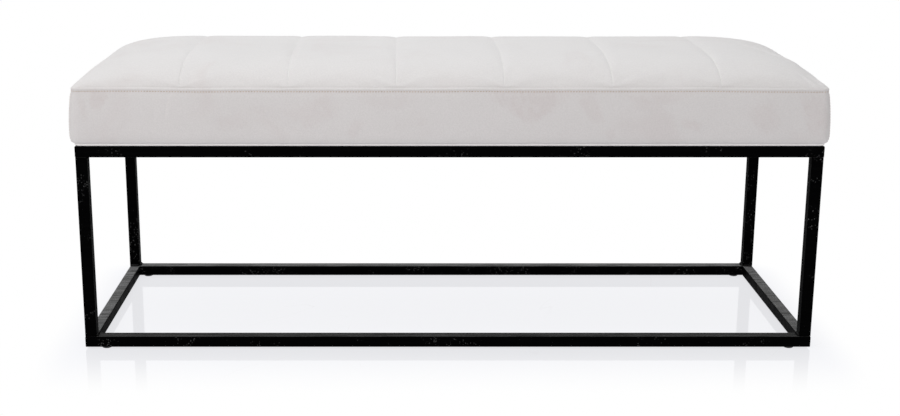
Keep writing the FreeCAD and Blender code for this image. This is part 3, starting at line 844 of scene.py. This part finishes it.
    def brush(self, mesh: Mesh) -> None:
        """Keeps with the finished cover how its nap is brushed, and where the painted highlight along its
        lower edge lies.

        Args:
            mesh: The cover's mesh.
        """
        places, normals = listed(mesh.vertices, "co"), listed(mesh.vertex_normals, "vector")
        nap = np.zeros(len(places))
        for mark in BRUSHED:
            nap = np.maximum(nap, mark.cover(places, normals))
        keep(mesh, "nap", "POINT", nap)
        # Mask of the painted highlight: the strip up to that height above the foot of the bands.
        hem_with_painted_highlight = (self.base + self.painted_highlight_height - places[:, 2]) / (0.8 * MM) + 0.5
        keep(mesh, "hem_with_painted_highlight", "POINT", np.clip(hem_with_painted_highlight, 0, 1))

    def smooth(self, body: Object) -> None:
        """Subdivides the cover once and keeps the result.

        Args:
            body: The cover.
        """
        finer = body.modifiers.new("finer", "SUBSURF")
        finer.levels = finer.render_levels = 1
        graph = bpy.context.evaluated_depsgraph_get()
        mesh = bpy.data.meshes.new_from_object(body.evaluated_get(graph))
        body.modifiers.remove(finer)
        mesh.name = "cushion_cover"
        body.data = mesh

    def onward(self, place: Vector, heading: float, length: float, curved: bool) -> tuple[Vector, float]:
        """Goes some way along a side or round a corner of the plan.

        Args:
            place: Where the way starts.
            heading: Its direction there, in radians.
            length: How long it is.
            curved: Whether it goes round a corner.

        Returns:
            The place and the direction at its end.
        """
        way = Vector((math.cos(heading), math.sin(heading), 0))
        if not curved:
            return place + way * length, heading
        centre = place + Vector((-way.y, way.x, 0)) * self.corner
        heading += length / self.corner
        return centre + Vector((math.sin(heading), -math.cos(heading), 0)) * self.corner, heading

    def walk(self) -> list[tuple[Vector, Vector, Vector]]:
        """Walks round the rounded plan at the stitch pitch.

        Returns:
            A place, its outward normal and its direction for each stitch.
        """
        sides = [2 * (half - self.corner) for half in (self.half_length, self.half_depth)]
        lengths = [sides[0], math.pi / 2 * self.corner, sides[1], math.pi / 2 * self.corner] * 2
        here, heading, starts = Vector((-sides[0] / 2, -self.half_depth, 0)), 0.0, []
        for number, length in enumerate(lengths):
            starts.append((here, heading))
            here, heading = self.onward(here, heading, length, number % 2 == 1)
        total, walk = sum(lengths), []
        count = round(total / self.stitch_pitch)
        for number in range(count):
            gone, run = total * number / count, 0
            while gone > lengths[run]:
                gone -= lengths[run]
                run += 1
            place, angle = self.onward(*starts[run], gone, run % 2 == 1)
            way = Vector((math.cos(angle), math.sin(angle), 0))
            walk.append((place, Vector((way.y, -way.x, 0)), way))
        return walk

    def sew(self, body: Object, thread: Material) -> Object:
        """Lays the stitches of the topstitch row and of the four upright corner seams.

        Args:
            body: The finished cover, which the stitches lie on.
            thread: Their material.

        Returns:
            The stitches, as one piece.
        """
        surface = BVHTree.FromPolygons([vertex.co for vertex in body.data.vertices],
                                       [polygon.vertices for polygon in body.data.polygons])
        up = Vector((0, 0, 1))
        lines = [(place + up * (self.seam - self.topstitch_drop), normal, way)
                 for place, normal, way in self.walk()]
        turn, gap = math.radians(self.corner_turn), 8 * MM
        for side_x, side_y in ((-1, -1), (-1, 1), (1, -1), (1, 1)):
            normal = Vector((side_x * math.cos(turn), side_y * math.sin(turn), 0))
            middle = Vector((side_x * (self.half_length - self.corner),
                             side_y * (self.half_depth - self.corner), 0)) + normal * self.corner
            for height in np.arange(self.base + gap, self.seam - gap, self.stitch_pitch):
                lines.append((middle + up * height, normal, up))
        rng, spots = np.random.default_rng(SEED), []
        before, depth, lift = 20 * MM, 60 * MM, 0.1 * MM
        for place, normal, way in lines:
            place = place + Vector(wander(np.array([place]))[0])
            hit, facing, _, _ = surface.ray_cast(place + normal * before, -normal, depth)
            if hit is None:
                continue
            across = facing.cross(way).normalized()
            way = across.cross(facing).normalized()
            turned = Matrix((way, across, facing)).transposed().to_4x4()
            length = self.stitch_pitch * (self.stitch_share + 0.02 * rng.standard_normal())
            size = Matrix.Diagonal((max(length, self.shortest_stitch), *self.stitch_half, 1))
            angle = self.stitch_tilt + 3 * rng.standard_normal()
            tilt = Matrix.Rotation(math.radians(angle), 4, "Z")
            spots.append(Matrix.Translation(hit + facing * lift) @ turned @ tilt @ size)
        return new_piece("cover_stitches", self.stitched(spots), thread, smooth=True)

    @staticmethod
    def stitched(spots: list[Matrix]) -> BMesh:
        """Makes one rounded stitch at each spot, in short runs that are then put together.

        Args:
            spots: Where each stitch lies, how it is turned and its half sizes.

        Returns:
            All the stitches.
        """
        lengthwise, together, at_once = Matrix.Rotation(math.pi / 2, 4, "Y"), bmesh.new(), 24
        for start in range(0, len(spots), at_once):
            run = bmesh.new()
            for spot in spots[start:start + at_once]:
                bmesh.ops.create_uvsphere(run, u_segments=6, v_segments=5, radius=1,
                                          matrix=spot @ lengthwise)
            mesh = bpy.data.meshes.new("run")
            run.to_mesh(mesh)
            run.free()
            together.from_mesh(mesh)
            bpy.data.meshes.remove(mesh)
        return together

    def build(self, velvet: Material, thread: Material) -> list[Object]:
        """Makes, fills, creases, brushes and sews the cushion.

        Args:
            velvet: The cover's material.
            thread: The stitches' material.

        Returns:
            The cushion's pieces.
        """
        body, parts = self.shell()
        self.fill(body, parts)
        self.smooth(body)
        self.crease(body.data)
        self.brush(body.data)
        body.data.materials.append(velvet)
        stitches = self.sew(body, thread)
        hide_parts("cover_top_panel", "cover_front_band", "cover_back_band", "cover_left_band",
                    "cover_right_band", "foam_core", "wadding_pad")
        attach(body, "root")
        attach(stitches, "root")
        return [body, stitches]

    def board(self, material: Material) -> Object:
        """The seat board with its upright corners eased, so that the cover goes round it.

        Args:
            material: Its material.

        Returns:
            The piece.
        """
        form, high = cad_form("seat_board"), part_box("seat_board")[1]
        for axis in (0, 1):
            facing = Vector((axis == 0, axis == 1, 0))
            for gap in (1.5, 3.5, 6, 9, 12):
                for way in (-1, 1):
                    spot = facing * way * (high[axis] - gap * MM)
                    bmesh.ops.bisect_plane(form, geom=[*form.verts, *form.edges, *form.faces],
                                           plane_co=spot, plane_no=facing)
        drawn_in = 1 - 3 * MM / self.eased
        for vertex in form.verts:
            over = [max(abs(vertex.co[axis]) - high[axis] + self.eased, 0.0) for axis in (0, 1)]
            length = math.hypot(*over)
            if length > 0:
                scale = max(over) / length * drawn_in
                for axis in (0, 1):
                    kept = abs(vertex.co[axis]) - over[axis]
                    vertex.co[axis] = math.copysign(kept + over[axis] * scale, vertex.co[axis])
        bmesh.ops.recalc_face_normals(form, faces=form.faces)
        piece = new_piece("plywood_board", form, material)
        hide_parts("seat_board")
        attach(piece, "root")
        return piece


def creases(*rows: tuple[float, ...]) -> list[Crease]:
    """Makes creases of rows in millimetres: a start, an end, a width and a depth."""
    return [Crease((a * MM, b * MM), (c * MM, d * MM), width * MM, depth * MM)
            for a, b, c, d, width, depth in rows]


TOP_CREASES = creases(
    (562, -172, 580, -198, 2.8, 1.3),
    (574, -162, 594, -190, 3.2, 1.5),
    (545, -45, 590, -98, 5.0, 2.0),
    (508, 15, 560, -60, 7.0, 1.2),
    (423, -150, 500, -166, 9.0, 0.5),
    (500, -128, 556, -168, 6.0, 0.6),
    (-128, -186, -116, -198, 2.6, 0.6),
    (-560, 172, -586, 150, 4.0, 0.9),
    (-300, 170, -330, 196, 4.0, 0.6),
)
FRONT_CREASES = creases(
    (-449, 434, -456, 392, 2.6, 0.9),
    (-470, 420, -474, 384, 3.0, 0.6),
    (-586, 405, -560, 398, 4.0, 0.3),
    (210, 405, 245, 380, 4.0, 0.25),
)


def marks(side: Side, *rows: tuple[float, ...]) -> list[Mark]:
    """Makes brushed marks of rows: middle and half size in millimetres, turn, taper and amount."""
    return [Mark(side, (u * MM, v * MM), (wide * MM, high * MM), turn, taper, amount)
            for u, v, wide, high, turn, taper, amount in rows]


BRUSHED = [
    *marks(Side.FRONT,
           (-562, 423, 13, 17, -14, 0.35, 1.0),
           (-585, 408, 6, 20, 12, 0.0, 0.55),
           (-346, 388, 30, 14, 8, 0.2, 0.4),
           (-212, 405, 33, 22, 24, 0.0, 0.5),
           (-152, 377, 9, 16, -30, 0.0, 0.6),
           (-98, 420, 40, 14, 0, 0.4, 0.35),
           (128, 412, 46, 27, 0, 0.85, 0.72),
           (226, 410, 14, 27, 28, 0.3, 0.7),
           (257, 368, 8, 9, 20, 0.0, 0.6),
           (330, 424, 48, 10, 2, 0.5, 0.55),
           (385, 383, 17, 8, -14, 0.0, 0.5),
           (505, 395, 22, 26, 30, 0.3, 0.55),
           (585, 400, 20, 34, 18, 0.0, 0.75)),
    *marks(Side.BACK,
           (-402, 405, 40, 24, 20, 0.6, 0.7),
           (116, 398, 30, 16, -25, 0.2, 0.55),
           (490, 410, 24, 20, 10, 0.4, 0.6)),
    *marks(Side.LEFT,
           (60, 404, 34, 20, 15, 0.6, 0.6),
           (-120, 390, 14, 18, -30, 0.0, 0.5)),
    *marks(Side.RIGHT,
           (-50, 408, 30, 22, -20, 0.5, 0.6),
           (130, 392, 20, 12, 25, 0.0, 0.5)),
    *marks(Side.TOP,
           (-180, 60, 60, 34, 30, 0.4, 0.3),
           (330, -20, 50, 26, -25, 0.3, 0.3),
           (-480, -40, 44, 24, 50, 0.3, 0.25)),
]


# The underside

@dataclass
class Underside:
    """The dust cloth under the seat, its staples and the weld beads of the frame."""

    fold: float = 8 * MM
    sag: float = 1.2 * MM
    slack_reach: float = 40 * MM
    tab_clear: Pair = (70 * MM, 120 * MM)
    scallop: float = 0.15 * MM
    staple_pitch: float = 48 * MM
    staple_inset: float = 4.5 * MM
    staple_size: Triple = (10 * MM, 1.1 * MM, 0.5 * MM)
    staple_edge: float = 0.18 * MM
    weld_step: float = 1.9 * MM

    def cloth(self, material: Material) -> Object:
        """The dust cloth, pulled flat at its staples and slack between them.

        Args:
            material: Its material.

        Returns:
            The piece.
        """
        low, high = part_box("dust_cover")
        middle, size, (start, end) = (low + high) / 2, high - low, self.tab_clear
        form = bmesh.new()
        bmesh.ops.create_grid(form, x_segments=150, y_segments=46, size=0.5)
        for vertex in form.verts:
            x, y = vertex.co.x * size.x, vertex.co.y * size.y
            edge = min(size.x / 2 - abs(x), size.y / 2 - abs(y))
            slack = min(1.0, max(0.0, edge - self.fold) / self.slack_reach)
            between = 0.5 + 0.5 * math.cos(2 * math.pi * x / self.staple_pitch)
            hang = self.sag * slack * slack * (0.6 + 0.4 * noise.noise((x * 9, y * 9, 0)))
            ripple = self.scallop * (1 - slack) * between * min(1.0, edge / self.fold)
            near_tab = max(0.0, min(1.0, (end - abs(y)) / (end - start)))
            level = high.z - 0.1 * MM - hang * near_tab - ripple
            vertex.co = Vector((x, y, level)) + Vector((middle.x, middle.y, 0))
        piece = new_piece("dust_cloth", form, material, smooth=True)
        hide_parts("dust_cover")
        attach(piece, "root")
        return piece

    def staples(self, material: Material) -> Object:
        """Wire staples round the edge of the dust cloth.

        Args:
            material: Their material.

        Returns:
            The piece.
        """
        low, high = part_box("dust_cover")
        rng, form, places, inset = np.random.default_rng(SEED), bmesh.new(), [], self.staple_inset
        for x in np.arange(low.x + 20 * MM, high.x - 15 * MM, self.staple_pitch):
            places += [(float(x), low.y + inset, 0.0), (float(x), high.y - inset, 0.0)]
        for y in np.arange(low.y + 30 * MM, high.y - 25 * MM, self.staple_pitch):
            places += [(low.x + inset, float(y), math.pi / 2), (high.x - inset, float(y), math.pi / 2)]
        size = Matrix.Diagonal((*self.staple_size, 1))
        for x, y, turn in places:
            turn += math.radians(4 * rng.standard_normal())
            spot = Matrix.Translation((x, y, low.z + 0.15 * MM)) @ Matrix.Rotation(turn, 4, "Z")
            made = bmesh.ops.create_cube(form, size=1, matrix=spot @ size)
            edges = {edge for vertex in made["verts"] for edge in vertex.link_edges}
            bmesh.ops.bevel(form, geom=list(edges), offset=self.staple_edge, segments=1, profile=0.5,
                            affect="EDGES", material=-1)
        piece = new_piece("dust_cloth_staples", form, material)
        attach(piece, "root")
        return piece

    def welds(self, material: Material) -> Object:
        """The weld beads with their ripples, under the powder coat.

        Args:
            material: Their material.

        Returns:
            The piece.
        """
        form = cad_form("weld_beads")
        for longest, cuts in ((6 * MM, 14), (2.2 * MM, 2)):
            edges = [edge for edge in form.edges if edge.calc_length() > longest]
            bmesh.ops.subdivide_edges(form, edges=edges, cuts=cuts, use_grid_fill=True)
        bmesh.ops.recalc_face_normals(form, faces=form.faces)
        form.normal_update()
        for vertex in form.verts:
            ripple = math.sin((vertex.co.x + vertex.co.y) * 2 * math.pi / self.weld_step)
            rough = noise.noise(vertex.co * 700)
            vertex.co += vertex.normal * (0.12 * ripple + 0.2 * rough) * MM
        piece = new_piece("weld_ripples", form, material, smooth=True)
        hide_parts("weld_beads")
        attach(piece, "root")
        return piece


# The frame's own parts

def dress_frame(materials: dict[str, Material], more_sheen_and_dust_coat: Material) -> None:
    """Gives every CAD part that stays the material of its slot.

    Args:
        materials: The materials by slot.
        more_sheen_and_dust_coat: The powder coat with more dust flecks and more painted sheen, for the
            left, right and back bottom rails.
    """
    for part in frame["record"]["subparts"]:
        # The left, right and back bottom rails get more painted sheen and dust on their tops.
        more_sheen_and_dust = part["node"] in ("bottom_left_rail", "bottom_right_rail", "bottom_back_rail")
        material = more_sheen_and_dust_coat if more_sheen_and_dust else materials.get(part["material_slot"])
        if material is not None:
            slots = frame["nodes"][part["node"]].data.materials
            slots.clear()
            slots.append(material)


# The studio

@dataclass(frozen=True)
class Lamp:
    """A soft box that is aimed at the bench."""

    name: str
    place: Triple
    size: Pair
    power: float
    colour: Triple
    target: Triple = (0.0, 0.0, 0.35)

    def build(self) -> None:
        """Hangs the lamp, unseen in reflections."""
        data = bpy.data.lights.new(self.name, "AREA")
        data.shape = "RECTANGLE"
        data.size, data.size_y = self.size
        data.energy, data.color = self.power, self.colour
        lamp = bpy.data.objects.new(self.name, data)
        lamp.location = self.place
        way = Vector(self.place) - Vector(self.target)
        lamp.rotation_euler = way.to_track_quat("Z", "Y").to_euler()
        lamp.visible_glossy = False
        bpy.context.scene.collection.objects.link(lamp)


LAMPS = (
    Lamp("overhead", (-0.22, 0.1, 2.3), (3.2, 2.2), 31.0, (0.93, 0.975, 1.0)),
    Lamp("front", (-0.9, -3.0, 1.5), (2.4, 1.6), 16.8, (1.0, 0.91, 0.86)),
    Lamp("left", (-2.8, -0.6, 1.3), (1.6, 1.6), 7.2, (1.0, 1.0, 1.0)),
)


@dataclass
class Studio:
    """The photograph's camera, soft lights and a pale glossy floor."""

    focal_px: float = 1322.0
    axis_px: Pair = (400.5, 148.0)
    image_px: tuple[int, int] = (900, 416)
    camera_at: Triple = (-0.079, -2.270, 0.824)
    pitch: float = 13.05
    sensor: float = 36.0
    daylight: float = 0.42
    floor_colour: Colour = (0.91, 0.92, 0.97, 1.0)
    vein_colour: Colour = (0.6, 0.58, 0.57, 1.0)
    glow_colour: Colour = (0.968, 0.972, 1.0, 1.0)
    gloss: float = 0.48
    glow: float = 0.76
    fade_reach: float = 0.2
    side_haste: float = 2.5
    ring_half: Pair = (0.604, 0.197)

    def camera(self) -> None:
        """Places the camera as fitted to the photograph."""
        wide, high = self.image_px
        data = bpy.data.cameras.new("camera")
        data.sensor_width = self.sensor
        data.lens = self.focal_px / wide * self.sensor
        data.shift_x = (wide / 2 - self.axis_px[0]) / wide
        data.shift_y = (self.axis_px[1] - high / 2) / wide
        camera = bpy.data.objects.new("camera", data)
        camera.location = self.camera_at
        camera.rotation_euler = (math.radians(90 - self.pitch), 0, 0)
        bpy.context.scene.collection.objects.link(camera)
        bpy.context.scene.camera = camera

    def world(self) -> None:
        """A pale world that lights softly and shows white behind the bench."""
        world = bpy.data.worlds.new("studio")
        bpy.context.scene.world = world
        world.use_nodes = True
        nodes = Nodes(world.node_tree)
        light, white = (nodes.add("Background", {"Color": grey(1.0), "Strength": strength}).outputs[0]
                        for strength in (self.daylight, 1.0))
        both = nodes.add("MixShader", {0: self.seen(nodes), 1: light, 2: white})
        nodes.add("OutputWorld", {"Surface": both.outputs[0]})

    @staticmethod
    def seen(nodes: Nodes) -> NodeSocket:
        """1 for the camera's own rays and for those of mirrors and glass."""
        path = nodes.add("LightPath")
        first = nodes.math("MAXIMUM", path.outputs["Is Camera Ray"], path.outputs["Is Glossy Ray"])
        return nodes.math("MAXIMUM", first, path.outputs["Is Transmission Ray"])

    def stone(self, nodes: Nodes, place: NodeSocket) -> NodeSocket:
        """The polished stone of the floor, with a few thin veins.

        Args:
            nodes: The material's node adder.
            place: The floor's Object coordinates.

        Returns:
            Its shader.
        """
        smears = nodes.clouds(place, 3.0, 5.0, Distortion=1.5).outputs[0]
        veins = nodes.clouds(place, 1.7, 2.5, Distortion=2.2).outputs[0]
        line = nodes.math("ABSOLUTE", nodes.math("SUBTRACT", veins, 0.5))
        hair = nodes.times(nodes.band(line, 0.0035, 0.0), nodes.band(smears, 0.48, 0.6))
        matt = nodes.add("BsdfDiffuse", {"Color": nodes.mix(hair, self.floor_colour, self.vein_colour)})
        rough = nodes.plus(nodes.band(smears, 0.4, 0.7), 0.03, 0.02)
        gloss = nodes.add("BsdfGlossy", {"Color": grey(1.0), "Roughness": rough})
        return nodes.add("MixShader", {0: self.gloss, 1: matt.outputs[0], 2: gloss.outputs[0]}).outputs[0]

    def apart(self, nodes: Nodes, place: NodeSocket) -> NodeSocket:
        """How far the floor is from the frame's foot.

        Args:
            nodes: The material's node adder.
            place: The floor's Object coordinates.

        Returns:
            0 within the foot, and 1 where the floor is plain white.
        """
        parts = nodes.add("SeparateXYZ", {0: place}).outputs
        half_x, half_y = self.ring_half
        beside = nodes.math("SUBTRACT", nodes.math("ABSOLUTE", parts[0]), half_x)
        behind = nodes.math("SUBTRACT", parts[1], half_y)
        before = nodes.math("SUBTRACT", nodes.times(parts[1], -1.0), half_y)
        away = 0.0
        for outside, haste in ((beside, self.side_haste), (behind, self.side_haste), (before, 1.0)):
            gone = nodes.times(nodes.math("MAXIMUM", outside, 0.0), haste)
            away = nodes.math("ADD", nodes.math("POWER", gone, 2.0), away)
        return nodes.band(nodes.math("SQRT", away), 0.0, self.fade_reach)

    def floor(self) -> None:
        """A white polished floor that fades to plain white away from the bench."""
        form = bmesh.new()
        bmesh.ops.create_grid(form, x_segments=1, y_segments=1, size=15.0,
                              matrix=Matrix.Translation((0, 0, -0.2 * MM)))
        material = bpy.data.materials.new("polished_floor")
        material.use_nodes = True
        nodes = Nodes(material.node_tree)
        place = nodes.add("TexCoord").outputs["Object"]
        apart = self.apart(nodes, place)
        fade = nodes.times(nodes.plus(apart, 1 - self.glow, self.glow), self.seen(nodes))
        tint = nodes.mix(apart, self.glow_colour, grey(1.0))
        glow = nodes.add("Emission", {"Color": tint, "Strength": 1.0}).outputs[0]
        both = nodes.add("MixShader", {0: fade, 1: self.stone(nodes, place), 2: glow})
        nodes.add("OutputMaterial", {"Surface": both.outputs[0]})
        floor = new_piece("floor", form, material)

    def build(self) -> None:
        """Sets up the whole studio."""
        bpy.context.scene.view_settings.view_transform = "Standard"
        self.world()
        self.floor()
        for lamp in LAMPS:
            lamp.build()
        self.camera()


def main() -> None:
    """Builds the finishes, the cushion, the underside and the studio, in that order."""
    logging.basicConfig(level=logging.INFO, format="%(message)s")
    black, off_black = (0.0012, 0.0012, 0.0013), (0.02, 0.02, 0.021)
    coat = PowderCoat("black_powder_coat", black, 0.4).make()
    velvet = Velvet("off_white_velvet", (0.79, 0.765, 0.757), 0.85).make()
    thread = Thread("tan_thread", (0.63, 0.52, 0.425), 0.55).make()
    zinc = Zinc("zinc_plated_steel", (0.55, 0.56, 0.58), 0.28).make()
    birch = Plywood("birch_plywood", (0.70, 0.54, 0.36), 0.6).make()
    cloth = DustCloth("black_dust_cloth", off_black, 0.5).make()
    # The second coat has more dust flecks and more painted sheen, in a lighter grey, on faces that point
    # up.
    dress_frame({"black_powder_coat": coat, "zinc_plated_steel": zinc,
                 "black_nylon": Nylon("black_nylon", off_black, 0.42).make()},
                PowderCoat("powder_coat_more_dust_and_painted_sheen", black, 0.4, dust=0.85, grey=0.5).make())

    band_low, band_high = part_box("cover_front_band")
    panel_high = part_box("cover_top_panel")[1]
    drawn_in = 1.8 * MM
    cushion = Cushion(panel_high.x - drawn_in, panel_high.y - drawn_in, band_low.z, band_high.z,
                      panel_high.z - band_high.z)
    underside = Underside()
    for piece in (*cushion.build(velvet, thread), cushion.board(birch), underside.cloth(cloth),
                  underside.staples(zinc), underside.welds(coat)):
        log.info("%s: %d faces", piece.name, len(piece.data.polygons))
    Studio().build()


if __name__ == "__main__":
    main()
